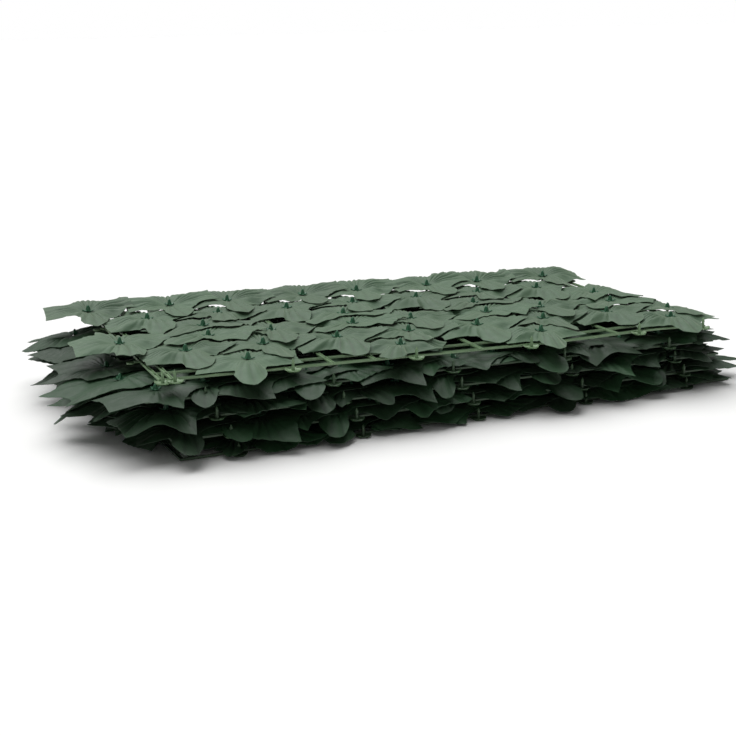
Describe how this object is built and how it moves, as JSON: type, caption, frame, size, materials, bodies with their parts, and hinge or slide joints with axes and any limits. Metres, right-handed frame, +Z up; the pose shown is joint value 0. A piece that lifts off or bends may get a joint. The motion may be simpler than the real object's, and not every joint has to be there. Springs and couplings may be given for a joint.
{
  "type": "artificial leaf privacy screen",
  "caption": "Artificial ivy leaf privacy screen: pressed cloth leaves on moulded lattice panels with star caps, packed as a flat pile",
  "frame": {"origin": "under the middle of the pile's box, on the surface it lies on", "axes": "+X along the panels' long edges, to the end where the pile is lower; +Y from the near long edge, with the bare pegged feet, to the far one; +Z up, the side the leaves are on"},
  "size_m": [1.1884, 0.6602, 0.1545],
  "materials": {
    "lattice": "light green moulded polyethylene bars, slightly waxy",
    "leaf_cloth": "pressed polyester leaf cloth with raised veins, dull with a soft sheen",
    "caps": "deep green moulded star caps, slightly shiny"
  },
  "bodies": {
    "root": {"lattice_1": "lattice", "lattice_2": "lattice", "lattice_3": "lattice", "lattice_4": "lattice", "lattice_5": "lattice", "leaves_1": "leaf_cloth", "leaves_2": "leaf_cloth", "leaves_3": "leaf_cloth", "leaves_4": "leaf_cloth", "leaf_01": "leaf_cloth", "leaf_02": "leaf_cloth", "leaf_03": "leaf_cloth", "leaf_04": "leaf_cloth", "leaf_05": "leaf_cloth", "leaf_06": "leaf_cloth", "leaf_07": "leaf_cloth", "leaf_08": "leaf_cloth", "leaf_09": "leaf_cloth", "leaf_10": "leaf_cloth", "leaf_11": "leaf_cloth", "leaf_12": "leaf_cloth", "leaf_13": "leaf_cloth", "leaf_14": "leaf_cloth", "leaf_15": "leaf_cloth", "leaf_16": "leaf_cloth", "leaf_17": "leaf_cloth", "leaf_18": "leaf_cloth", "leaf_19": "leaf_cloth", "leaf_20": "leaf_cloth", "leaf_21": "leaf_cloth", "leaf_22": "leaf_cloth", "leaf_23": "leaf_cloth", "leaf_24": "leaf_cloth", "leaf_25": "leaf_cloth", "leaf_26": "leaf_cloth", "leaf_27": "leaf_cloth", "leaf_28": "leaf_cloth", "leaf_29": "leaf_cloth", "leaf_30": "leaf_cloth", "leaf_31": "leaf_cloth", "leaf_32": "leaf_cloth", "leaf_33": "leaf_cloth", "leaf_34": "leaf_cloth", "leaf_35": "leaf_cloth", "leaf_36": "leaf_cloth", "leaf_37": "leaf_cloth", "leaf_38": "leaf_cloth", "leaf_39": "leaf_cloth"}
  },
  "joints": []
}
